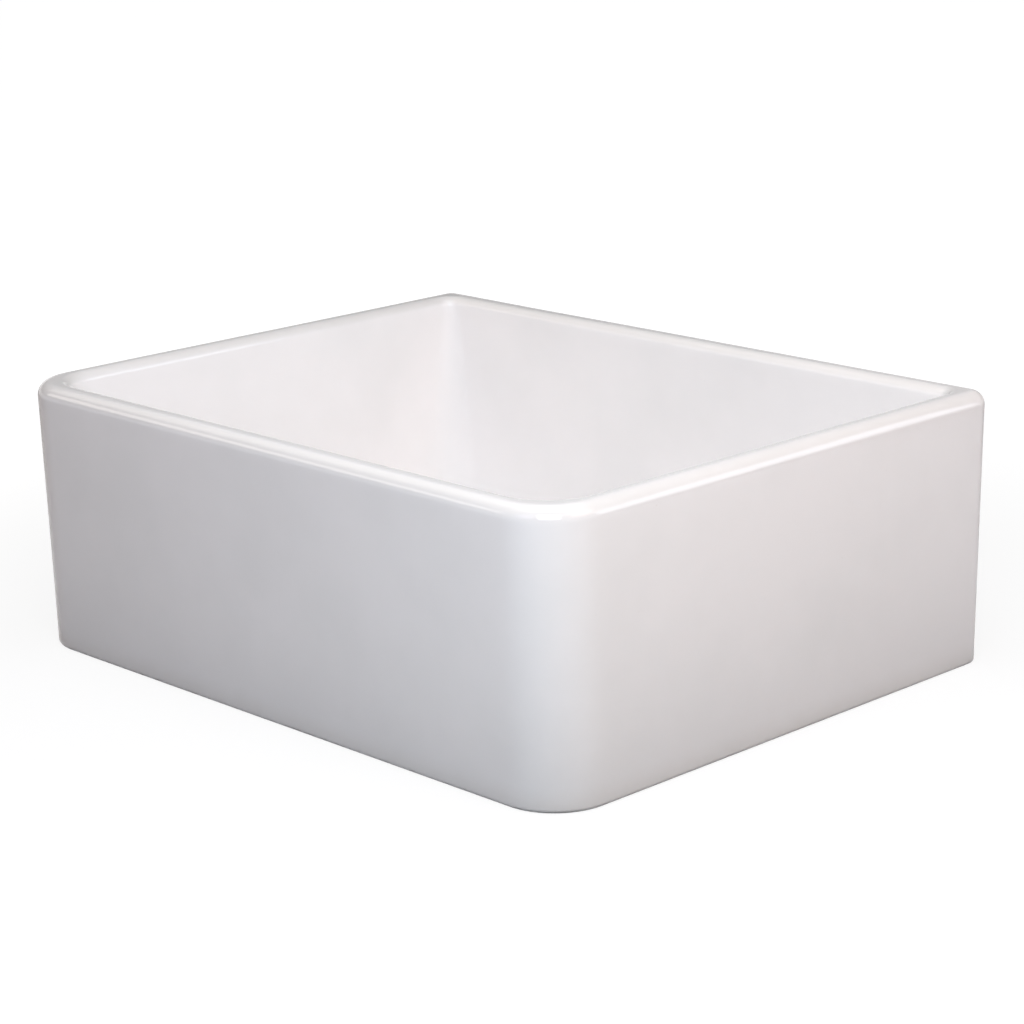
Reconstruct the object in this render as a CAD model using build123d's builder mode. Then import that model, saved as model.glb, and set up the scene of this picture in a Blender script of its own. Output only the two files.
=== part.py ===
from build123d import *
import os

# Apron-front ceramic sink with a basket-strainer waste. Millimetres, +Z up, apron facing -Y.
# The origin is the middle of the base plane, on the axis of the drain.

# ---------------------------------------------------------------- basin
basin_length = 600.0  # along X, over the rim
basin_width = 475.0  # front to back, over the rim
basin_height = 216.0
apron_lean = 4.0  # how far the foot of the apron and of the back stands in from the rim
side_lean = 2.0  # the same on the two ends
wall_thickness = 22.0  # at the rim
rim_land = 2.5  # flat width left on top of the rim
rim_inner_radius = 8.0
front_corner_radius = 46.0  # the two upright corners of the apron
back_corner_margin = 3.0  # the back corners are this much rounder than the rim
base_edge_radius = 3.5
bowl_front_corner_radius = 35.0
bowl_back_corner_margin = 4.0  # the bowl's back corners against its rim rounding
bowl_lean = 7.0  # how far the bowl draws in from the rim to the floor
bowl_floor_radius = 26.0  # cove between walls and floor
bowl_floor_corner_margin = 8.0  # floor corners are this much rounder than the cove
floor_thickness = 22.0  # at the drain
floor_fall = 4.0  # drop of the floor towards the drain
fall_margin = 3.0  # level strip between the cove and the start of the fall

# ---------------------------------------------------------------- waste fitting
drain_hole_radius = 45.0
drain_hole_play = 2.0  # between the hole and the strainer's thread
drain_edge_radius = 1.2  # glaze rounding of the flange's recess
flange_overlap = 12.0  # the flange past the hole
flange_recess_play = 1.0
strainer_sheet = 1.5
flange_seal_thickness = 1.5
flange_seal_margin = 1.0  # the seal stands back from the flange's edge
mouth_radius = 4.0  # turned edge between flange and cup
cup_cone_height = 9.0
outlet_bore_radius = 21.0
outlet_wall = 3.0
outlet_length = 23.0  # seat to the end of the spout
washer_seat_depth = 1.0  # ground seat in the foot of the basin
washer_seat_margin = 8.0  # the seat past the washer's edge
under_washer_thickness = 3.0
under_washer_margin = 1.0  # the rubber washer past the flange's overlap
friction_ring_thickness = 1.0
friction_ring_margin = 2.0  # the fibre ring stands back from the washer's edge
lock_nut_height = 11.0
lock_nut_wall = 10.0
lock_nut_lug = 4.5  # how far a lug stands out
lock_nut_lug_width = 13.0
lock_nut_lugs = 8
thread_spare = 9.0  # thread left below the lock nut
thread_gap = 0.1  # between the crests of two threads

# ---------------------------------------------------------------- outlet cross
cross_drop = 7.0  # below the seat
cross_height = 4.0
cross_ring_wall = 1.2
cross_arm_width = 3.5
cross_arm_thickness = 2.0
cross_hub_wall = 2.0
cross_play = 0.1

# ---------------------------------------------------------------- coupling and tailpiece
tailpiece_radius = 19.05
tailpiece_wall = 1.2
tailpiece_length = 44.0
tailpiece_flange_thickness = 1.5
tailpiece_neck = 0.3  # the tube is drawn in this much under its flange
tailpiece_neck_margin = 1.0  # neck showing below the nut
spout_washer_thickness = 2.0
spout_washer_play = 0.4
coupling_engagement = 15.0  # thread length that the nut takes on the spout
coupling_wall = 4.5  # across the flats, over the thread
coupling_lip_thickness = 2.5
coupling_lip_play = 0.4
coupling_chamfer = 1.0

# ---------------------------------------------------------------- basket
seat_gap = 0.3  # running gap between pieces that move apart
running_gap = 0.06  # cup on stem
push_gap = 0.03  # pieces pushed or screwed on the stem
stem_radius = 3.0
stopper_overlap = 5.0  # rubber past the edge of the outlet
stopper_thickness = 5.0
stopper_bevel = 1.2
seal_plate_thickness = 1.2
seal_plate_margin = 5.0  # the plate stands back from the rubber's edge
bush_thickness = 1.5
bush_radius = 8.5
basket_sheet = 0.8
basket_floor_radius = 32.0
basket_depth = 34.0
basket_bend_radius = 4.0
basket_flare = 4.5  # the wall leans out this far from the bend to the lip
basket_lip_radius = 1.4  # rolled bead
basket_lip_play = 1.2  # bead to strainer wall
perforation_radius = 1.6
wall_rows = 3
wall_row_holes = 24
floor_rings = 3
floor_ring_first_holes = 9
floor_ring_more_holes = 6
top_washer_thickness = 1.2
top_washer_radius = 7.5
knob_shank_radius = 4.6
knob_shank_height = 30.0
knob_radius = 10.5
knob_height = 10.0
knob_neck_radius = 3.0  # cove under the knob's head
knob_bore_depth = 16.0
clip_wall = 0.9  # sleeve of the spring clip
clip_bulge = 0.9  # bulge past the sleeve
clip_play = 0.4  # bulge to the hub of the cross
clip_head = 2.0  # sleeve above the cross
clip_tail = 5.5  # sleeve and bulge below the cross
clip_slit = 0.8
stem_tail = 0.6  # stem past the clip

# ---------------------------------------------------------------- worked-out sizes
rim_outer_radius = wall_thickness - rim_land - rim_inner_radius
back_corner_radius = rim_outer_radius + back_corner_margin
bowl_back_corner_radius = rim_inner_radius + bowl_back_corner_margin
bowl_length = basin_length - 2 * wall_thickness
bowl_width = basin_width - 2 * wall_thickness
bowl_floor_z = floor_thickness + floor_fall
floor_corner_radius = bowl_floor_radius + bowl_floor_corner_margin
fall_radius = bowl_width / 2 - bowl_lean - bowl_floor_radius - fall_margin

strainer_radius = drain_hole_radius - drain_hole_play
cup_radius = strainer_radius - strainer_sheet
flange_radius = drain_hole_radius + flange_overlap
recess_radius = flange_radius + flange_recess_play
recess_z = floor_thickness - flange_seal_thickness - strainer_sheet
flange_z = recess_z + flange_seal_thickness
seal_bore_radius = strainer_radius + mouth_radius
washer_radius = flange_radius + under_washer_margin
washer_seat_radius = washer_radius + washer_seat_margin
washer_z = washer_seat_depth - under_washer_thickness
friction_z = washer_z - friction_ring_thickness
lock_nut_z = friction_z - lock_nut_height
cup_end_z = lock_nut_z - thread_spare
seat_z = cup_end_z - cup_cone_height
outlet_radius = outlet_bore_radius + outlet_wall
outlet_z = seat_z - outlet_length
thread_bore_radius = strainer_radius + thread_gap

cross_top_z = seat_z - cross_drop
cross_bottom_z = cross_top_z - cross_height
cross_radius = outlet_bore_radius - cross_play

coupling_bore_radius = outlet_radius + thread_gap
coupling_flat_radius = outlet_radius + coupling_wall
tailpiece_z = outlet_z - spout_washer_thickness
tailpiece_flange_z = tailpiece_z - tailpiece_flange_thickness
tailpiece_flange_radius = outlet_radius - spout_washer_play
coupling_top_z = outlet_z + coupling_engagement
coupling_z = tailpiece_flange_z - coupling_lip_thickness

stopper_radius = outlet_bore_radius + stopper_overlap
stopper_z = seat_z + seat_gap
seat_radius = stopper_radius + seat_gap
seal_plate_z = stopper_z + stopper_thickness
bush_z = seal_plate_z + seal_plate_thickness
basket_z = bush_z + bush_thickness + seat_gap
basket_lip_z = basket_z + basket_depth
basket_lip_reach = cup_radius - basket_lip_play - basket_lip_radius
top_washer_z = basket_z + basket_sheet + seat_gap
knob_z = top_washer_z + top_washer_thickness
knob_head_z = knob_z + knob_shank_height
push_bore_radius = stem_radius + push_gap
clip_sleeve_radius = push_bore_radius + clip_wall
clip_radius = clip_sleeve_radius + clip_bulge
hub_bore_radius = clip_radius + clip_play
clip_top_z = cross_top_z + clip_head
clip_bottom_z = cross_bottom_z - clip_tail
stem_bottom_z = clip_bottom_z - stem_tail
stem_top_z = knob_z + knob_bore_depth - stem_tail


def rounded_outline(length, width, front_radius, back_radius):
    """Draw a rectangle in the open sketch, its front corners and back corners rounded apart."""
    Rectangle(length, width)
    fillet(vertices().group_by(Axis.Y)[0], radius=front_radius)
    fillet(vertices().group_by(Axis.Y)[-1], radius=back_radius)


def corner_at(radius, height):
    """The vertex of the open sketch that stands nearest a radius and a height."""
    return vertices().sort_by_distance((radius, height))[0]


def flat_ring(level, inner_radius, outer_radius, thickness):
    """Add a flat ring to the open part, upward from a level."""
    with BuildSketch(Plane.XY.offset(level), mode=Mode.PRIVATE) as ring:
        Circle(outer_radius)
        Circle(inner_radius, mode=Mode.SUBTRACT)
    extrude(ring.sketch, amount=thickness)


os.makedirs("parts", exist_ok=True)

# Basin: a leaning block with a leaning bowl cut in it, coved floor, bullnose rim.
with BuildPart() as sink_basin:
    with BuildSketch(Plane.XY):
        rounded_outline(
            basin_length - 2 * side_lean,
            basin_width - 2 * apron_lean,
            front_corner_radius,
            back_corner_radius,
        )
    with BuildSketch(Plane.XY.offset(basin_height)):
        rounded_outline(basin_length, basin_width, front_corner_radius, back_corner_radius)
    loft(ruled=True)
    with BuildSketch(Plane.XY.offset(bowl_floor_z)):
        rounded_outline(
            bowl_length - 2 * bowl_lean,
            bowl_width - 2 * bowl_lean,
            bowl_front_corner_radius + bowl_floor_corner_margin,
            floor_corner_radius,
        )
    with BuildSketch(Plane.XY.offset(basin_height)):
        rounded_outline(
            bowl_length, bowl_width, bowl_front_corner_radius, bowl_back_corner_radius
        )
    loft(ruled=True, mode=Mode.SUBTRACT)
    level_faces = faces().filter_by(Axis.Z).sort_by(Axis.Z)
    fillet(level_faces[1].edges(), radius=bowl_floor_radius)
    rim_face = faces().filter_by(Axis.Z).sort_by(Axis.Z)[-1]
    fillet(rim_face.outer_wire().edges(), radius=rim_outer_radius)
    rim_face = faces().filter_by(Axis.Z).sort_by(Axis.Z)[-1]
    fillet(rim_face.inner_wires()[0].edges(), radius=rim_inner_radius)
    fillet(faces().filter_by(Axis.Z).sort_by(Axis.Z)[0].edges(), radius=base_edge_radius)
    with Locations((0, 0, floor_thickness)):
        Cone(
            recess_radius,
            fall_radius,
            floor_fall,
            align=(Align.CENTER, Align.CENTER, Align.MIN),
            mode=Mode.SUBTRACT,
        )
    with Locations((0, 0, recess_z)):
        Cylinder(
            recess_radius,
            bowl_floor_z,
            align=(Align.CENTER, Align.CENTER, Align.MIN),
            mode=Mode.SUBTRACT,
        )
    Cylinder(washer_seat_radius, 2 * washer_seat_depth, mode=Mode.SUBTRACT)
    Cylinder(drain_hole_radius, basin_height, mode=Mode.SUBTRACT)
sink_basin.part.label = "sink_basin"
export_step(sink_basin.part, "parts/sink_basin.step")

# Seal under the strainer's flange, lying in the recess.
with BuildPart() as flange_seal:
    flat_ring(recess_z, seal_bore_radius, flange_radius - flange_seal_margin, flange_seal_thickness)
flange_seal.part.label = "flange_seal"
export_step(flange_seal.part, "parts/flange_seal.step")

# Strainer body: flange, threaded cup, conical bottom with the stopper's seat, threaded spout.
with BuildPart() as strainer_body:
    with BuildSketch(Plane.XZ) as strainer_section:
        with BuildLine():
            Polyline(
                (cup_radius, floor_thickness),
                (flange_radius, floor_thickness),
                (flange_radius, flange_z),
                (strainer_radius, flange_z),
                (strainer_radius, cup_end_z),
                (seat_radius + strainer_sheet, seat_z - strainer_sheet),
                (outlet_radius, seat_z - strainer_sheet),
                (outlet_radius, outlet_z),
                (outlet_bore_radius, outlet_z),
                (outlet_bore_radius, seat_z),
                (seat_radius, seat_z),
                (cup_radius, cup_end_z),
                close=True,
            )
        make_face()
        fillet(corner_at(cup_radius, floor_thickness), radius=mouth_radius)
        fillet(corner_at(strainer_radius, flange_z), radius=mouth_radius - strainer_sheet)
        fillet(corner_at(flange_radius, floor_thickness), radius=strainer_sheet / 2)
        fillet(corner_at(cup_radius, cup_end_z), radius=mouth_radius)
        fillet(corner_at(strainer_radius, cup_end_z), radius=mouth_radius + strainer_sheet)
    revolve(axis=Axis.Z)
strainer_body.part.label = "strainer_body"
export_step(strainer_body.part, "parts/strainer_body.step")

# Cross in the outlet: a ring with four arms and the hub that takes the basket's clip.
with BuildPart() as outlet_cross:
    with BuildSketch(Plane.XY.offset(cross_bottom_z)):
        Circle(cross_radius)
        Circle(cross_radius - cross_ring_wall, mode=Mode.SUBTRACT)
        Circle(hub_bore_radius + cross_hub_wall)
    extrude(amount=cross_height)
    with BuildSketch(Plane.XY.offset(cross_bottom_z)):
        Rectangle(2 * cross_radius - cross_ring_wall, cross_arm_width)
        Rectangle(cross_arm_width, 2 * cross_radius - cross_ring_wall)
    extrude(amount=cross_arm_thickness)
    with Locations((0, 0, cross_bottom_z)):
        Cylinder(
            hub_bore_radius,
            cross_height,
            align=(Align.CENTER, Align.CENTER, Align.MIN),
            mode=Mode.SUBTRACT,
        )
outlet_cross.part.label = "outlet_cross"
export_step(outlet_cross.part, "parts/outlet_cross.step")

# Rubber washer against the underside of the basin.
with BuildPart() as under_washer:
    flat_ring(washer_z, thread_bore_radius, washer_radius, under_washer_thickness)
under_washer.part.label = "under_washer"
export_step(under_washer.part, "parts/under_washer.step")

# Fibre ring that lets the lock nut turn without dragging the rubber.
with BuildPart() as friction_ring:
    flat_ring(
        friction_z, thread_bore_radius, washer_radius - friction_ring_margin, friction_ring_thickness
    )
friction_ring.part.label = "friction_ring"
export_step(friction_ring.part, "parts/friction_ring.step")

# Lock nut with lugs for a spanner.
lock_nut_radius = thread_bore_radius + lock_nut_wall
with BuildPart() as lock_nut:
    with BuildSketch(Plane.XY.offset(lock_nut_z)):
        Circle(lock_nut_radius)
        with PolarLocations(lock_nut_radius, lock_nut_lugs):
            Rectangle(2 * lock_nut_lug, lock_nut_lug_width)
        fillet(vertices(), radius=lock_nut_lug / 4)
        Circle(thread_bore_radius, mode=Mode.SUBTRACT)
    extrude(amount=lock_nut_height)
lock_nut.part.label = "lock_nut"
export_step(lock_nut.part, "parts/lock_nut.step")

# Nylon washer between the spout and the tailpiece.
with BuildPart() as spout_washer:
    flat_ring(tailpiece_z, tailpiece_radius, tailpiece_flange_radius, spout_washer_thickness)
spout_washer.part.label = "spout_washer"
export_step(spout_washer.part, "parts/spout_washer.step")

# Tailpiece: a straight tube with a turned-out flange on top.
with BuildPart() as tailpiece:
    with BuildSketch(Plane.XZ):
        with BuildLine():
            Polyline(
                (tailpiece_radius - tailpiece_wall, tailpiece_z),
                (tailpiece_flange_radius, tailpiece_z),
                (tailpiece_flange_radius, tailpiece_flange_z),
                (tailpiece_radius - tailpiece_neck, tailpiece_flange_z),
                (tailpiece_radius - tailpiece_neck, coupling_z - tailpiece_neck_margin),
                (tailpiece_radius, coupling_z - tailpiece_neck_margin - tailpiece_neck),
                (tailpiece_radius, tailpiece_z - tailpiece_length),
                (tailpiece_radius - tailpiece_wall, tailpiece_z - tailpiece_length),
                close=True,
            )
        make_face()
    revolve(axis=Axis.Z)
tailpiece.part.label = "tailpiece"
export_step(tailpiece.part, "parts/tailpiece.step")

# Coupling nut: six flats, threaded on the spout, its lip drawing the tailpiece's flange up.
with BuildPart() as coupling_nut:
    with BuildSketch(Plane.XY.offset(coupling_z)):
        RegularPolygon(coupling_flat_radius, 6, major_radius=False)
    extrude(amount=coupling_top_z - coupling_z)
    chamfer(edges().group_by(Axis.Z)[0], length=coupling_chamfer)
    chamfer(edges().group_by(Axis.Z)[-1], length=coupling_chamfer)
    with Locations((0, 0, tailpiece_flange_z)):
        Cylinder(
            coupling_bore_radius,
            coupling_top_z - tailpiece_flange_z,
            align=(Align.CENTER, Align.CENTER, Align.MIN),
            mode=Mode.SUBTRACT,
        )
    with Locations((0, 0, coupling_z)):
        Cylinder(
            tailpiece_radius + coupling_lip_play,
            coupling_lip_thickness,
            align=(Align.CENTER, Align.CENTER, Align.MIN),
            mode=Mode.SUBTRACT,
        )
coupling_nut.part.label = "coupling_nut"
export_step(coupling_nut.part, "parts/coupling_nut.step")

# Stem that carries the stopper and the basket.
with BuildPart() as basket_stem:
    with BuildSketch(Plane.XY.offset(stem_bottom_z)):
        Circle(stem_radius)
    extrude(amount=stem_top_z - stem_bottom_z)
    chamfer(edges().group_by(Axis.Z)[0], length=stem_radius / 5)
basket_stem.part.label = "basket_stem"
export_step(basket_stem.part, "parts/basket_stem.step")

# Spring clip on the stem's foot: a slit sleeve with a bulge that snaps through the hub.
with BuildPart() as stem_clip:
    with BuildSketch(Plane.XZ):
        with BuildLine():
            Polyline(
                (push_bore_radius, clip_top_z),
                (clip_sleeve_radius, clip_top_z),
                (clip_sleeve_radius, cross_bottom_z),
                (clip_radius, (cross_bottom_z + clip_bottom_z) / 2),
                (clip_sleeve_radius, clip_bottom_z),
                (push_bore_radius, clip_bottom_z),
                close=True,
            )
        make_face()
        fillet(corner_at(clip_radius, (cross_bottom_z + clip_bottom_z) / 2), radius=clip_radius / 4)
    revolve(axis=Axis.Z)
    with BuildSketch(Plane.XY.offset(clip_bottom_z)):
        Rectangle(2 * clip_radius, clip_slit)
        Rectangle(clip_slit, 2 * clip_radius)
    extrude(amount=cross_top_z - clip_bottom_z, mode=Mode.SUBTRACT)
stem_clip.part.label = "stem_clip"
export_step(stem_clip.part, "parts/stem_clip.step")

# Rubber stopper that seals on the seat round the outlet.
with BuildPart() as stopper_seal:
    with BuildSketch(Plane.XZ):
        with BuildLine():
            Polyline(
                (push_bore_radius, stopper_z),
                (stopper_radius - stopper_bevel, stopper_z),
                (stopper_radius, stopper_z + stopper_bevel),
                (stopper_radius, seal_plate_z - stopper_bevel),
                (stopper_radius - stopper_bevel, seal_plate_z),
                (push_bore_radius, seal_plate_z),
                close=True,
            )
        make_face()
    revolve(axis=Axis.Z)
stopper_seal.part.label = "stopper_seal"
export_step(stopper_seal.part, "parts/stopper_seal.step")

# Plate that backs the rubber.
with BuildPart() as seal_plate:
    flat_ring(seal_plate_z, push_bore_radius, stopper_radius - seal_plate_margin, seal_plate_thickness)
seal_plate.part.label = "seal_plate"
export_step(seal_plate.part, "parts/seal_plate.step")

# Nylon bush that the basket turns on.
with BuildPart() as basket_bush:
    flat_ring(bush_z, push_bore_radius, bush_radius, bush_thickness)
basket_bush.part.label = "basket_bush"
export_step(basket_bush.part, "parts/basket_bush.step")

# Basket: a perforated cup with a flared wall and a rolled lip, loose on the stem.
basket_wall_radius = basket_floor_radius + basket_flare
with BuildPart() as basket_cup:
    with BuildSketch(Plane.XZ):
        with BuildLine():
            Polyline(
                (stem_radius + running_gap, basket_z),
                (basket_floor_radius, basket_z),
                (basket_wall_radius, basket_lip_z),
                (basket_lip_reach, basket_lip_z),
                (basket_lip_reach, basket_lip_z + basket_sheet),
                (basket_wall_radius - basket_sheet, basket_lip_z + basket_sheet),
                (basket_floor_radius - basket_sheet, basket_z + basket_sheet),
                (stem_radius + running_gap, basket_z + basket_sheet),
                close=True,
            )
        make_face()
        fillet(corner_at(basket_floor_radius, basket_z), radius=basket_bend_radius)
        fillet(
            corner_at(basket_floor_radius - basket_sheet, basket_z + basket_sheet),
            radius=basket_bend_radius - basket_sheet,
        )
        with Locations((basket_lip_reach, basket_lip_z)):
            Circle(basket_lip_radius)
    revolve(axis=Axis.Z)
    # rows round the wall, each turned half a hole from the one below
    for row in range(wall_rows):
        climb = (row + 1) / (wall_rows + 1)
        with Locations((0, 0, basket_z + basket_depth * climb)):
            with PolarLocations(
                basket_floor_radius + basket_flare * climb,
                wall_row_holes,
                start_angle=180.0 / wall_row_holes * (row % 2),
            ):
                Cylinder(
                    perforation_radius,
                    basket_bend_radius,
                    rotation=(0, 90, 0),
                    mode=Mode.SUBTRACT,
                )
    # rings in the floor, each with more holes than the one inside it
    ring_step = (basket_floor_radius - bush_radius) / (floor_rings + 1)
    for ring in range(floor_rings):
        with Locations((0, 0, basket_z)):
            with PolarLocations(
                bush_radius + ring_step * (ring + 1) - perforation_radius / 2,
                floor_ring_first_holes + floor_ring_more_holes * ring,
            ):
                Cylinder(perforation_radius, basket_bend_radius, mode=Mode.SUBTRACT)
basket_cup.part.label = "basket_cup"
export_step(basket_cup.part, "parts/basket_cup.step")

# Washer under the knob that keeps the basket on its bush.
with BuildPart() as top_washer:
    flat_ring(top_washer_z, push_bore_radius, top_washer_radius, top_washer_thickness)
top_washer.part.label = "top_washer"
export_step(top_washer.part, "parts/top_washer.step")

# Knob: a long shank screwed down on the stem, with a rounded head to lift by.
with BuildPart() as basket_knob:
    with BuildSketch(Plane.XZ):
        with BuildLine():
            Polyline(
                (0, knob_z),
                (knob_shank_radius, knob_z),
                (knob_shank_radius, knob_head_z),
                (knob_radius, knob_head_z),
                (knob_radius, knob_head_z + knob_height),
                (0, knob_head_z + knob_height),
                close=True,
            )
        make_face()
        fillet(corner_at(knob_shank_radius, knob_head_z), radius=knob_neck_radius)
        fillet(corner_at(knob_radius, knob_head_z), radius=knob_height / 5)
        fillet(corner_at(knob_radius, knob_head_z + knob_height), radius=knob_height / 2.5)
    revolve(axis=Axis.Z)
    with Locations((0, 0, knob_z)):
        Cylinder(
            push_bore_radius,
            knob_bore_depth,
            align=(Align.CENTER, Align.CENTER, Align.MIN),
            mode=Mode.SUBTRACT,
        )
basket_knob.part.label = "basket_knob"
export_step(basket_knob.part, "parts/basket_knob.step")
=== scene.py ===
import math
import bmesh
import bpy
import numpy as np
from mathutils import Matrix, Vector


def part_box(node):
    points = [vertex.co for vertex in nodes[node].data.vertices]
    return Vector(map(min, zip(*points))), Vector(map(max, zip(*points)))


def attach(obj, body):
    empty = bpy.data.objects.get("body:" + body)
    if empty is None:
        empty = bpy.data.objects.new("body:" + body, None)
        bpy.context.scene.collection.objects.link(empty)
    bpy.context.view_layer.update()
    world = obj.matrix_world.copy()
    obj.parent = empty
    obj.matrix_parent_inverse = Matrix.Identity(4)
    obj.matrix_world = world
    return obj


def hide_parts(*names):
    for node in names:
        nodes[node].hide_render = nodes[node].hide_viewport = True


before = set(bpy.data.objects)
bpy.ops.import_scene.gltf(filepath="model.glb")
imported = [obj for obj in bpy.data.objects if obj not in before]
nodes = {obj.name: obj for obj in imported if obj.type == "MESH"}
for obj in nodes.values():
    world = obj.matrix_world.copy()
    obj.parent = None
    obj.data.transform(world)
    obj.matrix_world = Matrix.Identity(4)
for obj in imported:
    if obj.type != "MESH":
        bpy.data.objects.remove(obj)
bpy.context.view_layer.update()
print("frame loaded:", len(nodes), "nodes")


sinkMiddle = Vector((0, 0, 0.108))


# A place on a sphere round the sink's middle: azimuth 0 is in front of the apron, 90 is off the right end.
def aroundSink(azimuth, elevation, distance):
    a, e = math.radians(azimuth), math.radians(elevation)
    back = Vector((math.sin(a) * math.cos(e), -math.cos(a) * math.cos(e), math.sin(e)))
    return sinkMiddle + back * distance, back


camera = {
    "azimuth": 46.09,
    "elevation": 15.6,
    "roll": -1.22,
    "distance": 2.2616,
    "aside": 0.0131,  # the lens stands this far right of the sink's middle, and above it
    "above": 0.0048,
    "lens": 101.42,
    "sensor": 36,
    "clip": (0.05, 60),
}


def makeCamera(s):
    place, back = aroundSink(s["azimuth"], s["elevation"], s["distance"])
    right = Vector((0, 0, 1)).cross(back).normalized()
    up = back.cross(right)
    place += right * s["aside"] + up * s["above"]
    roll = math.radians(s["roll"])
    x = right * math.cos(roll) + up * math.sin(roll)
    y = up * math.cos(roll) - right * math.sin(roll)
    lens = bpy.data.cameras.new("camera")
    lens.sensor_width, lens.lens = s["sensor"], s["lens"]
    lens.clip_start, lens.clip_end = s["clip"]
    view = bpy.data.objects.new("camera", lens)
    view.matrix_world = Matrix.Translation(place) @ Matrix((x, y, back)).transposed().to_4x4()
    bpy.context.scene.collection.objects.link(view)
    bpy.context.scene.camera = view


makeCamera(camera)
bpy.context.scene.view_settings.view_transform = "Standard"
print("camera ready")


# points[v, u] is a grid of places and neighbours make quads. Each row is a ring, and a shell's last row joins
# its first. A shell whose faces look inwards (negative volume) is turned round.
def gridMesh(name, points, shell=True):
    rows, cols = points.shape[:2]
    v = np.arange(rows if shell else rows - 1)[:, None]
    u = np.arange(cols)[None, :]
    vNext, uNext = (v + 1) % rows, (u + 1) % cols
    quads = np.stack([v * cols + u, v * cols + uNext, vNext * cols + uNext, vNext * cols + u], -1)
    quads = quads.reshape(-1, 4)
    flat = points.reshape(-1, 3)
    if shell:
        a, b, c, d = (flat[quads[:, i]] for i in range(4))
        if (a * np.cross(b, c)).sum() + (a * np.cross(c, d)).sum() < 0:
            quads = quads[:, ::-1]
    mesh = bpy.data.meshes.new(name)
    mesh.from_pydata(flat, [], quads)
    mesh.polygons.foreach_set("use_smooth", np.ones(len(mesh.polygons), bool))
    mesh.update()
    piece = bpy.data.objects.new(name, mesh)
    bpy.context.scene.collection.objects.link(piece)
    return piece


# values[v, u] kept on the mesh's points under a name that a material reads
def paint(piece, name, values):
    layer = piece.data.attributes.new(name, "FLOAT", "POINT")
    layer.data.foreach_set("value", np.ascontiguousarray(values, np.float32).ravel())


# A socket of a material's nodes: sums on it add Math nodes, and node() adds any other node, with its
# settings first and then its sockets' values or links.
class Wire:
    def __init__(self, tree, socket=None):
        self.tree, self.socket = tree, socket

    def node(self, kind, sockets=(), output=0, **settings):
        made = self.tree.nodes.new("ShaderNode" + kind)
        for name, value in settings.items():
            setattr(made, name, value)
        for name, value in dict(sockets).items():
            if isinstance(value, Wire):
                self.tree.links.new(value.socket, made.inputs[name])
            else:
                made.inputs[name].default_value = value
        return Wire(self.tree, made.outputs[output] if made.outputs else None)

    def other(self, output):
        return Wire(self.tree, self.socket.node.outputs[output])

    def maths(self, operation, a, b):
        return self.node("Math", {0: a, 1: b}, operation=operation)

    def __add__(self, other):
        return self.maths("ADD", self, other)

    def __sub__(self, other):
        return self.maths("SUBTRACT", self, other)

    def __rsub__(self, other):
        return self.maths("SUBTRACT", other, self)

    def __mul__(self, other):
        return self.maths("MULTIPLY", self, other)

    __radd__, __rmul__ = __add__, __mul__

    # 0 below low, 1 above high, smooth between
    def ramp(self, low, high):
        sockets = {0: self, 1: low, 2: high, 3: 0.0, 4: 1.0}
        return self.node("MapRange", sockets, interpolation_type="SMOOTHSTEP")

    # colour a where this value is 0, b where it is 1
    def colour(self, a, b):
        a, b = (c if isinstance(c, Wire) else (*c, 1) for c in (a, b))
        return self.node("Mix", {0: self, 6: a, 7: b}, 2, data_type="RGBA")

    # noise on a place, scale in 1/m, about 0.5
    def noise(self, scale, detail=2.0, roughness=0.5):
        sockets = {"Vector": self, "Scale": scale, "Detail": detail, "Roughness": roughness}
        return self.node("TexNoise", sockets)

    # distance to the nearest cell's middle, or that cell's colour
    def voronoi(self, scale, output="Distance"):
        return self.node("TexVoronoi", {"Vector": self, "Scale": scale}, output)


def newFinish(name):
    material = bpy.data.materials.new(name)
    material.use_nodes = True
    material.node_tree.nodes.clear()
    return material, Wire(material.node_tree)


# the shader, its fixed sockets and those that vary; height is in metres and becomes the Normal
def finishWith(wire, height=None, **sockets):
    named = {name.replace("_", " "): value for name, value in sockets.items()}
    if height is not None:
        named["Normal"] = wire.node("Bump", {"Strength": 1.0, "Distance": 1.0, "Height": height})
    shader = wire.node("BsdfPrincipled", named)
    wire.node("OutputMaterial", {"Surface": shader})


floor = {
    "hole": 0.075,  # the waste hangs through it, out of sight under the base
    "reach": 6.0,  # then the paper sweeps up to a wall
    "sweep": 1.5,
    "wall": 3.5,
    "rings": 24,
    "sweepRings": 8,
    "around": 96,
    "tone": 0.16,
    "glazeTone": 1.5,  # the paper as glaze and metal mirror it, with its shadows
    "paintedShadeTone": (0.02, 0.46),  # painted shade for the sink's shadow round its base: the tone scattered rays find, dark at the base and pale away from it
    "under": (0.0, 0.35),  # these distances from the base
    "base": (0.3, 0.2375, 0.0),
    "lift": 0.86,  # what the camera sees on top of the light that falls on it
    "far": (0.35, 1.1),  # from the first to the second distance the lift rises to plain white
    "glazeFar": (1.4, 3.0),  # and here the glaze's
    "fade": (0.2, 1.8),  # from the first to the second height the wall dims
    "upper": 0.16,  # to this, which is also the room above the wall
    "surround": (0.02, 0.02, 0.02),  # light from all round, for rays that scatter
}
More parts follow.
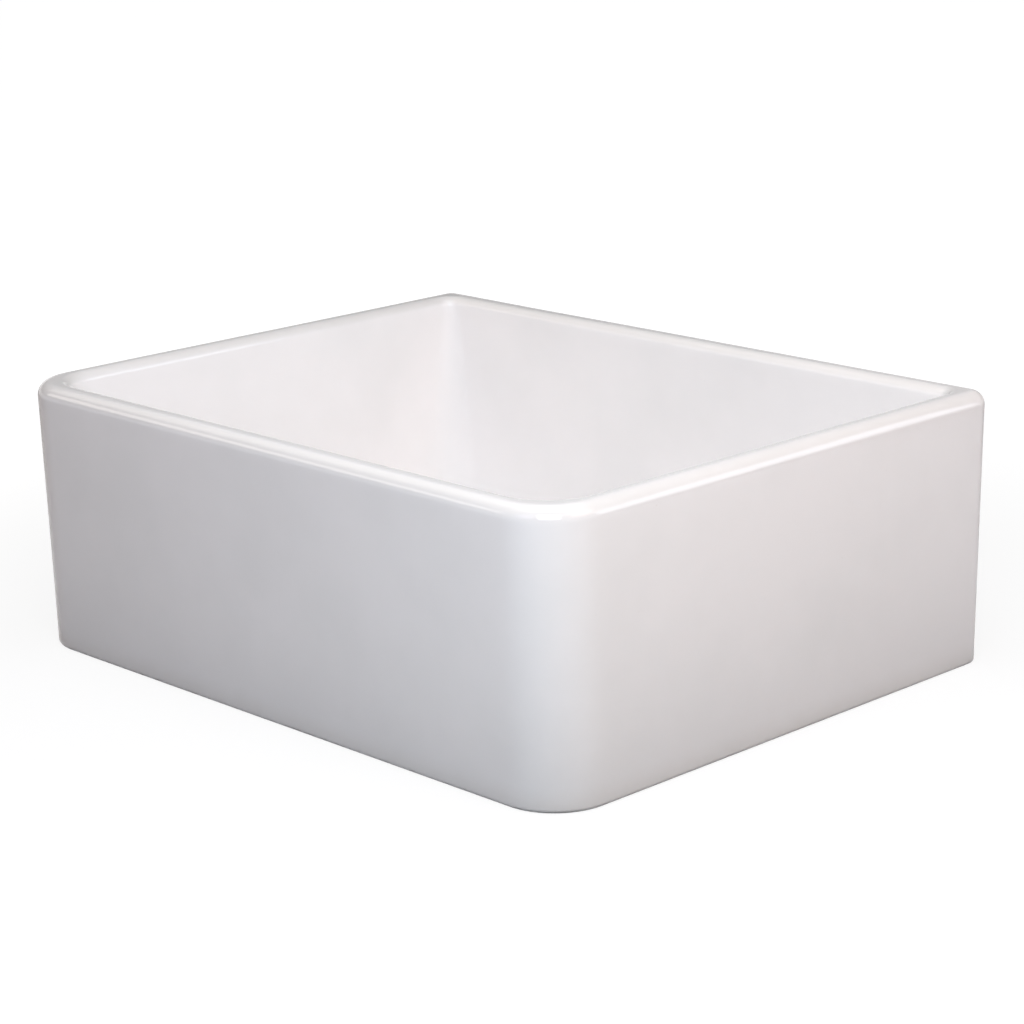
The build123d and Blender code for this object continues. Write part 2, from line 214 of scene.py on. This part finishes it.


# A profile turned round the upright: rings from the hole out, each further than the last by one factor, a
# quarter circle and a wall. Scattered rays find the paper painted dark near the base, a painted shade for the
# sink's own shadow there, and paler away from it. The camera and the glaze see it glow, more so further out.
def makeFloor(s):
    bend = np.linspace(0, np.pi / 2, s["sweepRings"] + 1)[1:]
    radius = s["hole"] * (s["reach"] / s["hole"]) ** np.linspace(0, 1, s["rings"])
    radius = np.concatenate([radius, s["reach"] + s["sweep"] * np.sin(bend), [s["reach"] + s["sweep"]]])
    height = np.concatenate([np.zeros(s["rings"]), s["sweep"] * (1 - np.cos(bend)), [s["wall"]]])
    angle = np.linspace(0, 2 * np.pi, s["around"], endpoint=False)
    points = np.stack([radius[:, None] * np.cos(angle), radius[:, None] * np.sin(angle),
                       height[:, None] + 0 * angle], -1)
    sheet = gridMesh("studio_floor", points, shell=False)
    material, wire = newFinish("palePaper")
    place = wire.node("TexCoord", output="Object")
    away = place.node("VectorMath", {0: place}, 1, operation="LENGTH")
    dim = 1 - place.node("SeparateXYZ", {0: place}, 2).ramp(*s["fade"]) * (1 - s["upper"])
    outside = place.node("VectorMath", {0: place}, operation="ABSOLUTE")
    outside = place.node("VectorMath", {0: outside, 1: s["base"]}, operation="SUBTRACT")
    outside = place.node("VectorMath", {0: outside, 1: (0, 0, 0)}, operation="MAXIMUM")
    outside = place.node("VectorMath", {0: outside}, 1, operation="LENGTH").ramp(*s["under"])
    # painted shade: for scattered rays the paper darkens towards the base
    paintedShade = outside * (s["paintedShadeTone"][1] - s["paintedShadeTone"][0]) + s["paintedShadeTone"][0]
    rays = wire.node("LightPath")
    mirrored = rays.maths("MAXIMUM", rays.other("Is Glossy Ray"), rays.other("Is Transmission Ray"))
    direct = rays.other("Is Camera Ray")
    tone = paintedShade + direct * (s["tone"] - paintedShade) + mirrored * (s["glazeTone"] - paintedShade)
    seen = direct * (away.ramp(*s["far"]) * (1 - s["lift"]) + s["lift"])
    seen = seen + mirrored * away.ramp(*s["glazeFar"]) * dim
    paper = wire.node("BsdfDiffuse", {"Color": tone})
    glow = wire.node("Emission", {"Color": (1, 1, 1, 1), "Strength": seen})
    both = wire.node("AddShader", {0: paper, 1: glow})
    wire.node("OutputMaterial", {"Surface": both})
    sheet.data.materials.append(material)


def makeSurround(s):
    world = bpy.data.worlds.new("studio")
    bpy.context.scene.world = world
    world.use_nodes = True
    world.node_tree.nodes.clear()
    wire = Wire(world.node_tree)
    rays = wire.node("LightPath")
    mirrored = rays.maths("MAXIMUM", rays.other("Is Glossy Ray"), rays.other("Is Transmission Ray"))
    dim = wire.node("Background", {"Color": (*s["surround"], 1), "Strength": 1.0})
    pale = wire.node("Background", {"Color": (1, 1, 1, 1), "Strength": s["upper"]})
    white = wire.node("Background", {"Color": (1, 1, 1, 1), "Strength": 1.0})
    room = wire.node("MixShader", {0: mirrored, 1: dim, 2: pale})
    room = wire.node("MixShader", {0: rays.other("Is Camera Ray"), 1: room, 2: white})
    wire.node("OutputWorld", {"Surface": room})


lamps = {
    # azimuth, elevation, distance, width, height, power, colour
    "leftKey": (-88, 46, 1.8, 1.2, 0.8, 2.0, (1, 1, 1)),
    "leftTop": (-50, 55, 1.5, 1.6, 1.3, 3.2, (1, 0.8, 0.65)),
    "leftWindow": (-48, 22, 2.0, 1.0, 0.4, 3.0, (1, 0.9, 0.85)),
    "apronBox": (10, 28, 1.5, 0.6, 0.6, 1.6, (0.82, 0.7, 1)),
    "frontBox": (46, 30, 1.6, 0.8, 0.7, 13.0, (0.86, 0.95, 1)),
    "endBox": (90, 30, 1.6, 0.8, 0.8, 1.9, (1, 0.5, 0.4)),
    "endNear": (95, 35, 1.1, 0.6, 0.5, 1.8, (1, 0.83, 0.74)),
    "backWindow": (126, 16, 1.2, 0.5, 0.4, 1.8, (0.83, 0.92, 1)),
    "overhead": (55, 78, 0.9, 0.8, 0.8, 3.5, (0.86, 0.95, 1)),
}


def makeLamps(settings):
    for name, (azimuth, elevation, distance, width, height, power, colour) in settings.items():
        place, back = aroundSink(azimuth, elevation, distance)
        light = bpy.data.lights.new(name, "AREA")
        light.shape, light.size, light.size_y = "RECTANGLE", width, height
        light.energy, light.color = power, colour
        lamp = bpy.data.objects.new(name, light)
        lamp.location = place
        lamp.rotation_mode = "QUATERNION"
        lamp.rotation_quaternion = back.to_track_quat("Z", "Y")
        lamp.visible_camera = False
        bpy.context.scene.collection.objects.link(lamp)


makeFloor(floor)
makeSurround(floor)
makeLamps(lamps)
print("studio ready:", len(lamps), "lamps")

basin = {
    "length": 0.6,
    "width": 0.475,
    "frontCorner": 0.046,  # outline radius of the apron's two upright corners
    "backCorner": 0.0145,
    "apronLean": 0.004,  # the foot stands in from the rim, front and back
    "endLean": 0.002,
    "wall": 0.022,
    "rimOuter": 0.0115,
    "rimInner": 0.008,
    "footEdge": 0.0035,
    "bowlFrontCorner": (0.035, 0.043),  # at the rim and at the floor
    "bowlBackCorner": (0.012, 0.034),
    "bowlLean": 0.007,
    "cove": 0.026,
    "floor": 0.022,  # thickness at the drain
    "fall": 0.004,
    "fallRadius": 0.1795,
    "fallPower": 1.6,
    "recess": 0.058,
    "recessDepth": 0.003,
    "hole": 0.045,
    "seat": 0.066,  # ground ring under the base
    "seatDepth": 0.001,
    "glazeEdge": 0.0012,
    "tight": 0.0002,  # rows this close keep a sharp edge
    "baseRows": 13,
    "wallRows": 26,
    "arcRows": 14,
    "lipRows": 11,
    "edgeRows": 7,
    "cornerPoints": 18,
    "sidePoints": (48, 60),
    "wave": 0.00014,  # depth of the fired body's slow waves
    "waveLengths": (0.06, 0.24),
    "waveCount": 18,
    "calm": (0.05, 0.01),  # they grow to full depth this far from the drain's seat and from the foot
}


# One ring's points: outward angle, the corner each belongs to, and how far it has slid to the next corner.
def ringTemplate(cornerPoints, sidePoints):
    angle, corner, slide = [], [], []
    for i in range(4):
        sweep = np.linspace(0, np.pi / 2, cornerPoints) + np.pi / 2 * (i - 1)
        side = np.arange(1, sidePoints[i % 2]) / sidePoints[i % 2]
        angle += [sweep, np.full(len(side), sweep[-1])]
        slide += [np.zeros(cornerPoints), side]
        corner += [np.full(cornerPoints + len(side), i)]
    return np.concatenate(angle), np.concatenate(corner), np.concatenate(slide)


# Rounded rectangles of half size (a, b), one a ring: a point is its corner's centre plus the radius along
# the outward angle, and on a side it slides from there to the same point of the next corner.
def outlines(template, a, b, front, back):
    angle, corner, slide = template
    centreX = np.stack([a - front, a - back, back - a, front - a])
    centreY = np.stack([front - b, b - back, b - back, front - b])
    radius = np.stack([front, back, back, front])
    following = (corner + 1) % 4
    flat = []
    for centre, way in ((centreX, np.cos(angle)), (centreY, np.sin(angle))):
        here = centre[corner].T + radius[corner].T * way
        there = centre[following].T + radius[following].T * way
        flat.append(here * (1 - slide) + there * slide)
    return np.stack(flat, -1)


# Slow waves: a sum of sines, longer ones higher, with seeded directions. Their mean is scaled by 2.2, which
# brings its crests to about 1.
def slowWaves(points, lengths, count, seed):
    rng = np.random.default_rng(seed)
    way = rng.normal(size=(count, 3))
    way /= np.linalg.norm(way, axis=1)[:, None]
    length = np.exp(rng.uniform(*np.log(lengths), count))
    phase = rng.uniform(0, 2 * np.pi, count)
    waves = np.sin(points @ (way * (2 * np.pi / length)[:, None]).T + phase)
    return (waves * length / length.sum()).sum(-1) * 2.2


# The wall's section, carried round the outline ring by ring: underside, foot, outer wall, rim, bowl wall,
# cove, floor and drain hole, which joins the underside again. An arc is inset = r(1 - cos t), rise = r sin t;
# the walls' lean goes on through the arcs. The floor's rings fade from the bowl's outline to a circle and
# drop towards it as (1 - distance) ** fallPower.
def buildBasin(s):
    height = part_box("sink_basin")[1].z
    halfA, halfB = s["length"] / 2, s["width"] / 2
    floorZ = s["floor"] + s["fall"]
    rows = []

    def steps(count, first=0.0, last=1.0):
        return np.linspace(first, last, count)

    def outer(count, z, inset=0.0, circle=0.0, toCircle=0.0, bare=0.0, thin=0.0):
        low = 1 - np.asarray(z, float) / height
        add(count, z, halfA - s["endLean"] * low, halfB - s["apronLean"] * low, s["frontCorner"],
            s["backCorner"], inset, circle, toCircle, bare, thin, 0.0)

    def inner(count, z, inset=0.0, circle=0.0, toCircle=0.0, bare=0.0, thin=0.0, falls=0.0):
        low = np.clip((height - np.asarray(z, float)) / (height - floorZ), 0, 1)
        (frontTop, frontFoot), (backTop, backFoot) = s["bowlFrontCorner"], s["bowlBackCorner"]
        add(count, z, halfA - s["wall"] - s["bowlLean"] * low, halfB - s["wall"] - s["bowlLean"] * low,
            frontTop + (frontFoot - frontTop) * low, backTop + (backFoot - backTop) * low,
            inset, circle, toCircle, bare, thin, falls)

    def add(count, *values):
        rows.append(np.stack([np.broadcast_to(np.asarray(v, float), count) for v in values], -1))

    hole, seat, tight = s["hole"], s["seat"], s["tight"]
    outer(2, s["seatDepth"], 0, hole + steps(2, 0, tight), 1, 1)
    outer(2, s["seatDepth"], 0, seat - steps(2, tight, 0), 1, 1)
    outer(2, 0.0, 0, seat + steps(2, 0, tight), 1, 1)
    outer(s["baseRows"], 0.0, s["footEdge"], seat, steps(s["baseRows"] + 1, 1, 0)[1:], 1)
    t = steps(s["edgeRows"] + 1)[1:] * np.pi / 2
    outer(s["edgeRows"], s["footEdge"] * (1 - np.cos(t)), s["footEdge"] * (1 - np.sin(t)),
          bare=np.clip(1.5 - 1.7 * t, 0, 1), thin=np.sin(t))  # the glaze begins on the foot's edge
    share = steps(s["wallRows"] + 1)[1:]
    outer(s["wallRows"], s["footEdge"] + (height - s["rimOuter"] - s["footEdge"]) * share,
          thin=(1 - 9 * share).clip(0))
    t = steps(s["arcRows"] + 1)[1:] * np.pi / 2
    outer(s["arcRows"], height - s["rimOuter"] * (1 - np.sin(t)), s["rimOuter"] * (1 - np.cos(t)),
          thin=np.sin(t * 2))
    t = steps(s["lipRows"]) * np.pi / 2
    inner(s["lipRows"], height - s["rimInner"] * (1 - np.cos(t)), -s["rimInner"] * (1 - np.sin(t)),
          thin=np.sin(t * 2))
    inner(s["wallRows"], height - s["rimInner"] - (height - s["rimInner"] - floorZ - s["cove"]) * share)
    t = steps(s["arcRows"] + 1)[1:] * np.pi / 2
    inner(s["arcRows"], floorZ + s["cove"] * (1 - np.sin(t)), s["cove"] * (1 - np.cos(t)),
          thin=-np.sin(t * 2))
    edge = s["recess"] + s["glazeEdge"]
    inner(s["wallRows"], floorZ, s["cove"], edge, share, falls=1)
    t = steps(7)[1:] * np.pi / 2
    inner(6, s["floor"] - s["glazeEdge"] * (1 - np.cos(t)), 0, edge - s["glazeEdge"] * np.sin(t), 1)
    recessZ = s["floor"] - s["recessDepth"]
    inner(2, np.array([s["floor"] - 1.4 * s["glazeEdge"], recessZ]), 0, s["recess"], 1)  # just under the arc
    inner(3, recessZ, 0, steps(3, s["recess"] - tight, hole + tight), 1)
    inner(6, steps(6, recessZ, s["seatDepth"] + tight), 0, hole, 1, bare=steps(6, 0.3, 1))

    z, a, b, front, back, inset, circle, toCircle, bare, thin, falls = np.concatenate(rows).T[:, :, None]
    shape = [value[:, 0] for value in (a - inset, b - inset, front - inset, back - inset)]
    flat = outlines(ringTemplate(s["cornerPoints"], s["sidePoints"]), *shape)
    flat += 1e-9  # keeps a point off the axis, where it has no direction
    polar = flat / np.linalg.norm(flat, axis=-1, keepdims=True)
    flat = flat * (1 - toCircle)[..., None] + polar * (circle * toCircle)[..., None]
    span = np.linalg.norm(flat, axis=-1)
    along = np.clip((span - edge) / (s["fallRadius"] - edge), 0, 1)
    z = z - falls * s["fall"] * (1 - along) ** s["fallPower"]
    points = np.concatenate([flat, z[..., None]], -1)

    # the fired body isn't quite true: slow waves, only ever inwards, none at the drain or the foot
    alongU = np.roll(points, -1, 1) - np.roll(points, 1, 1)
    alongV = np.roll(points, -1, 0) - np.roll(points, 1, 0)
    normal = np.cross(alongU, alongV)
    normal /= np.maximum(np.linalg.norm(normal, axis=-1, keepdims=True), 1e-12)
    still = np.clip((span - s["seat"]) / s["calm"][0], 0, 1) * np.clip(z / s["calm"][1], 0, 1)
    depth = s["wave"] * (1 + slowWaves(points, s["waveLengths"], s["waveCount"], seed=7)) * still
    top = (height - points[..., 2]) < 1e-5
    outward = np.sign(normal[..., 2][top].mean())
    points = points - normal * outward * depth[..., None]

    piece = gridMesh("basin_body", points)
    paint(piece, "bare", np.broadcast_to(bare, span.shape))
    paint(piece, "thin", np.broadcast_to(thin, span.shape))
    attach(piece, "sink")
    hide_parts("sink_basin")
    return piece


basinBody = buildBasin(basin)
print("basin built:", len(basinBody.data.polygons), "quads")

roundingRows = 6


# A closed section from its corners (radius, height, rounding, rows to the next corner), in millimetres: a
# rounding is an arc that touches both of its sides.
def section(corners):
    spots = np.array([corner[:2] for corner in corners], float)
    arcs = []
    for i, (_, _, rounding, _) in enumerate(corners):
        before, after = spots[i - 1] - spots[i], spots[(i + 1) % len(spots)] - spots[i]
        before, after = before / np.linalg.norm(before), after / np.linalg.norm(after)
        if not rounding:
            arcs.append(spots[i][None])
            continue
        half = np.arccos(np.clip(before @ after, -1, 1)) / 2
        middle = (before + after) / np.linalg.norm(before + after)
        centre = spots[i] + middle * rounding / np.sin(half)
        a, b = (spots[i] + way * rounding / np.tan(half) - centre for way in (before, after))
        t = np.linspace(0, 1, roundingRows) * np.arctan2(a[0] * b[1] - a[1] * b[0], a @ b)
        arcs.append(centre + np.outer(np.cos(t), a) + np.outer(np.sin(t), (-a[1], a[0])))
    rows = []
    for i, (_, _, _, count) in enumerate(corners):
        share = np.linspace(0, 1, count + 2)[1:-1, None]
        rows += [arcs[i], arcs[i][-1] * (1 - share) + arcs[(i + 1) % len(arcs)][0] * share]
    return np.concatenate(rows) / 1000


# A section turned round the upright axis. A thread (low, high, crest radius, pitch, depth, in mm) cuts into
# the rows at its crest radius: its depth is a triangle wave, flat at crest and root, that climbs one pitch a
# turn and fades out over the last pitch at either end.
def turn(name, rows, body, stands, around=96, threads=()):
    angle = np.linspace(0, 2 * np.pi, around, endpoint=False)
    radius, z = (np.repeat(rows[:, i][:, None], around, 1) for i in (0, 1))
    for low, high, crest, pitch, depth in (np.array(thread) / 1000 for thread in threads):
        onCrest = np.abs(radius - crest) < 1e-6
        groove = 2 * np.abs((z / pitch - angle / (2 * np.pi)) % 1 - 0.5)
        ends = np.clip((z - low) / pitch, 0, 1) * np.clip((high - z) / pitch, 0, 1)
        radius = radius - onCrest * ends * depth * np.clip(1.3 * groove - 0.15, 0, 1)
    piece = gridMesh(name, np.stack([radius * np.cos(angle), radius * np.sin(angle), z], -1))
    if radius.min() < 1e-9:  # rows on the axis become one point
        shell = bmesh.new()
        shell.from_mesh(piece.data)
        bmesh.ops.remove_doubles(shell, verts=shell.verts, dist=1e-7)
        shell.to_mesh(piece.data)
        shell.free()
    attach(piece, body)
    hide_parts(stands)
    return piece


strainer = {
    "flange": 57,
    "top": 22,
    "flangeUnder": 20.5,
    "crown": 0.5,  # the flange is this much lower at the mouth than near its edge
    "thread": 43,
    "cup": 41.5,
    "cupEnd": -23,
    "mouth": 4,
    "seat": 26.3,
    "seatLevel": -32,
    "spout": 24,
    "bore": 21,
    "end": -55,
    "threadPitch": (1.6, 2.2),
    "threadDepth": (0.7, 0.9),
}


# The strainer's pressed cup with its flange, seat and threaded spout, as one section.
def buildStrainer(s):
    sheet = s["thread"] - s["cup"]
    rows = section([
        (s["cup"], s["top"] - s["crown"], s["mouth"], 2),
        (s["flange"] - 3, s["top"], 12, 1),
        (s["flange"], s["top"] - 0.45, 0.5, 0),
        (s["flange"], s["flangeUnder"], 0.12, 2),
        (s["thread"], s["flangeUnder"], 2.5, 170),
        (s["thread"], s["cupEnd"], 5.5, 2),
        (s["seat"] + sheet, s["seatLevel"] - sheet, 0.4, 0),
        (s["spout"], s["seatLevel"] - sheet, 0.5, 80),
        (s["spout"], s["end"], 0.5, 0),
        (s["bore"], s["end"], 0.3, 6),
        (s["bore"], s["seatLevel"], 0.6, 1),
        (s["seat"], s["seatLevel"], 0.5, 2),
        (s["cup"], s["cupEnd"], 4, 12),
    ])
    (cupPitch, spoutPitch), (cupDepth, spoutDepth) = s["threadPitch"], s["threadDepth"]
    threads = [(s["cupEnd"] + 4, s["flangeUnder"] - 4, s["thread"], cupPitch, cupDepth),
               (s["end"] + 0.5, s["seatLevel"] - sheet - 1, s["spout"], spoutPitch, spoutDepth)]
    return turn("strainer_shell", rows, "sink", "strainer_body", 128, threads)


knob = {
    "foot": -21.4,
    "shank": 4.6,
    "headLevel": 8.6,
    "head": 10.5,
    "top": 18.6,
    "neck": 3,
    "groove": (4.2, 4.6, 5.2, 5.6),  # start, bottom and end of the grip's groove, above the head's underside
    "grooveDepth": 0.5,
    "dish": 0.7,  # hollow in the head's top
    "bore": 3.03,
    "boreEnd": -5.4,
}


# The knob: bored foot, slim shank, coved neck and a rounded head, grooved round its grip and dished on top.
def buildKnob(s):
    grooveStart, grooveLow, grooveHigh, grooveEnd = (s["headLevel"] + rise for rise in s["groove"])
    rows = section([
        (0, s["boreEnd"], 0, 2),
        (s["bore"], s["boreEnd"], 0.2, 4),
        (s["bore"], s["foot"], 0.2, 0),
        (s["shank"], s["foot"], 0.4, 8),
        (s["shank"], s["headLevel"], s["neck"], 1),
        (s["head"], s["headLevel"], 2, 0),
        (s["head"], grooveStart, 0.25, 0),
        (s["head"] - s["grooveDepth"], grooveLow, 0.2, 0),
        (s["head"] - s["grooveDepth"], grooveHigh, 0.2, 0),
        (s["head"], grooveEnd, 0.25, 0),
        (s["head"], s["top"], 3.6, 1),
        (s["head"] - 5, s["top"], 5, 2),
        (0, s["top"] - s["dish"], 0, 0),
    ])
    return turn("lift_knob", rows, "stopper", "basket_knob", 72)


tailpipe = {
    "tube": 19.05,
    "wall": 1.2,
    "top": -57,
    "end": -101,
    "flange": 23.6,
    "flangeUnder": -58.5,
    "neck": 18.75,
    "neckEnd": -62,
}


# The tailpiece: flange, neck under the nut, straight tube with a softened lower edge.
def buildTailpiece(s):
    bore = s["tube"] - s["wall"]
    rows = section([
        (bore, s["top"], 0.5, 1),
        (s["flange"], s["top"], 0.2, 0),
        (s["flange"], s["flangeUnder"], 0.3, 1),
        (s["neck"], s["flangeUnder"], 0.3, 1),
        (s["neck"], s["neckEnd"], 0.2, 0),
        (s["tube"], s["neckEnd"] - 0.3, 0.2, 12),
        (s["tube"], s["end"], 0.5, 0),
        (bore, s["end"], 0.3, 12),
    ])
    return turn("drain_tube", rows, "sink", "tailpiece")


strainerShell, liftKnob, drainTube = buildStrainer(strainer), buildKnob(knob), buildTailpiece(tailpipe)
turned = (strainerShell, liftKnob, drainTube)
print("waste turned:", sum(len(piece.data.polygons) for piece in turned), "faces")

glaze = {
    "white": (0.93, 0.905, 0.897),
    "cloud": (0.893, 0.873, 0.864),  # soft patches where the glaze lies thicker
    "thinEdge": (0.80, 0.765, 0.725),  # the body shows through on edges
    "clay": (0.60, 0.50, 0.39),
    "clayPale": (0.71, 0.63, 0.53),
    "pit": (0.45, 0.38, 0.30),
    "gloss": 0.085,  # roughness
    "dull": 0.75,  # and this much more where the clay is bare
    "index": 1.57,
    "cloudScale": 9,  # scales are in 1/m
    "edgeScale": 60,
    "pitScale": 70,
    "pitSize": (0.016, 0.03),
    "pitsLeft": (0.9, 0.91),  # only cells whose random red is above this have a pit
    "clayScale": 340,
    "peel": ((190, 9e-6), (900, 0.9e-6), (42, 5e-5)),  # scale and height in metres
    "grit": ((2600, 3, 0.7, 9e-5), (500, 2, 0.5, 6e-5)),  # scale, detail, roughness and height
}


# Glaze over pale clay. Colour is white mixed with cloud by noise, with thinEdge where "thin" is high, and
# with tiny pits. Height is the sum of peel's noises. Where "bare" plus noise passes a half, the clay and its
# grit take over.
def glazedFireclay(s):
    material, wire = newFinish("glazedFireclay")
    place = wire.node("TexCoord", output="Object")
    bare = wire.node("Attribute", output="Fac", attribute_name="bare")
    thin = wire.node("Attribute", output="Fac", attribute_name="thin")
    ragged = (bare + place.noise(260, 3) * 0.5 - 0.25).ramp(0.4, 0.6)  # 1 on clay, with an uneven edge
    cloud = place.noise(s["cloudScale"], 3, 0.55).ramp(0.35, 0.7)
    tone = cloud.colour(s["white"], s["cloud"])
    tone = (thin.ramp(0.2, 1.2) * (0.35 + 0.3 * place.noise(s["edgeScale"]))).colour(tone, s["thinEdge"])
    pick = place.node("SeparateColor", {0: place.voronoi(s["pitScale"], "Color")})
    pit = (1 - place.voronoi(s["pitScale"]).ramp(*s["pitSize"])) * pick.ramp(*s["pitsLeft"]) * 0.35
    tone = pit.colour(tone, s["pit"])
    clay = place.noise(s["clayScale"], 4, 0.7).ramp(0.3, 0.72).colour(s["clay"], s["clayPale"])
    peel = sum(place.noise(scale, 1) * height for scale, height in s["peel"])
    grit = sum(place.noise(*noise) * height for *noise, height in s["grit"])
    rough = s["gloss"] + 0.03 * place.noise(24, 2)
    finishWith(wire, height=peel * (1 - ragged) + grit * ragged, Base_Color=ragged.colour(tone, clay),
               Roughness=rough + ragged * s["dull"], IOR=s["index"])
    return material


basinBody.data.materials.append(glazedFireclay(glaze))

metals = {
    "turnedSteel": {
        "tone": (0.62, 0.615, 0.60),
        "worn": (0.52, 0.51, 0.49),
        "rough": 0.20,
        "linesPerMetre": 1500,
        "lineDepth": 0.7e-6,
        "smudge": 0.10,
    },
    "dullSteel": {
        "tone": (0.50, 0.495, 0.48),
        "worn": (0.40, 0.39, 0.375),
        "rough": 0.34,
        "linesPerMetre": 900,
        "lineDepth": 1.4e-6,
        "smudge": 0.14,
    },
    "chrome": {
        "tone": (0.68, 0.69, 0.71),
        "worn": (0.62, 0.63, 0.64),
        "rough": 0.05,
        "linesPerMetre": 500,
        "lineDepth": 0.12e-6,
        "smudge": 0.09,
    },
    "rawBrass": {
        "tone": (0.66, 0.47, 0.21),
        "worn": (0.40, 0.27, 0.13),
        "rough": 0.30,
        "linesPerMetre": 1100,
        "lineDepth": 1.6e-6,
        "smudge": 0.20,
    },
}


# Metal from a lathe: height is noise of (radius + height), so lines run round. Smudges and spots of dirt mix
# tone with worn, and add to the roughness.
def turnedMetal(name, s):
    material, wire = newFinish(name)
    place = wire.node("TexCoord", output="Object")
    flat = place.node("VectorMath", {0: place, 1: (1, 1, 0)}, operation="MULTIPLY")
    radius = place.node("VectorMath", {0: flat}, 1, operation="LENGTH")
    height = place.node("SeparateXYZ", {0: place}, 2)
    lines = place.node("TexNoise", {"W": radius + height, "Scale": s["linesPerMetre"], "Detail": 3.0},
                       noise_dimensions="1D")
    smudge = place.noise(55, 4, 0.6).ramp(0.42, 0.75)
    spots = 1 - place.voronoi(160).ramp(0.12, 0.2)
    dirt = smudge * 0.8 + spots * place.noise(30, 1).ramp(0.55, 0.7) * 0.35
    finishWith(wire, height=lines * s["lineDepth"] + place.noise(240, 2) * 2e-6,
               Base_Color=dirt.colour(s["tone"], s["worn"]), Metallic=1.0,
               Roughness=s["rough"] + lines * 0.05 + dirt * s["smudge"])
    return material


softs = {
    "blackRubber": {
        "tone": (0.022, 0.022, 0.024),
        "bloom": (0.06, 0.06, 0.06),
        "rough": 0.55,
        "grain": 1500,
        "depth": 1.2e-5,
        "cells": 0,
    },
    "greyFoam": {
        "tone": (0.17, 0.17, 0.175),
        "bloom": (0.26, 0.26, 0.265),
        "rough": 0.9,
        "grain": 1200,
        "depth": 3e-5,
        "cells": 1.1e-4,
    },
    "redFibre": {
        "tone": (0.30, 0.055, 0.03),
        "bloom": (0.42, 0.12, 0.07),
        "rough": 0.72,
        "grain": 900,
        "depth": 2.5e-5,
        "cells": 0,
    },
    "whiteNylon": {
        "tone": (0.77, 0.76, 0.71),
        "bloom": (0.82, 0.81, 0.78),
        "rough": 0.38,
        "grain": 1400,
        "depth": 5e-6,
        "cells": 0,
    },
}


# Rubber, foam, fibre and nylon: patches of noise mix tone with bloom, and height is fine noise, plus the
# distance to each cell's middle where the foam has cells.
def softFinish(name, s):
    material, wire = newFinish(name)
    place = wire.node("TexCoord", output="Object")
    bloom = place.noise(130, 4, 0.6).ramp(0.4, 0.78)
    grain = place.noise(s["grain"], 3, 0.6)
    height = grain * s["depth"]
    if s["cells"]:
        height = height + place.voronoi(900).ramp(0.0, 0.5) * s["cells"]
    finishWith(wire, height=height, Base_Color=bloom.colour(s["tone"], s["bloom"]),
               Roughness=s["rough"] + bloom * 0.08 + grain * 0.06)
    return material


finishes = {name: turnedMetal(name, s) for name, s in metals.items()}
finishes.update({name: softFinish(name, s) for name, s in softs.items()})
finishOf = {
    "turnedSteel": ("basket_cup",),
    "dullSteel": ("outlet_cross", "basket_stem", "seal_plate"),
    "chrome": ("coupling_nut",),
    "rawBrass": ("lock_nut", "stem_clip"),
    "blackRubber": ("under_washer", "stopper_seal"),
    "greyFoam": ("flange_seal",),
    "redFibre": ("friction_ring",),
    "whiteNylon": ("spout_washer", "basket_bush", "top_washer"),
}
for finish, names in finishOf.items():
    for name in names:
        nodes[name].data.materials.clear()
        nodes[name].data.materials.append(finishes[finish])
strainerShell.data.materials.append(finishes["turnedSteel"])
for piece in (liftKnob, drainTube):
    piece.data.materials.append(finishes["chrome"])
print("finishes ready:", 1 + len(finishes))
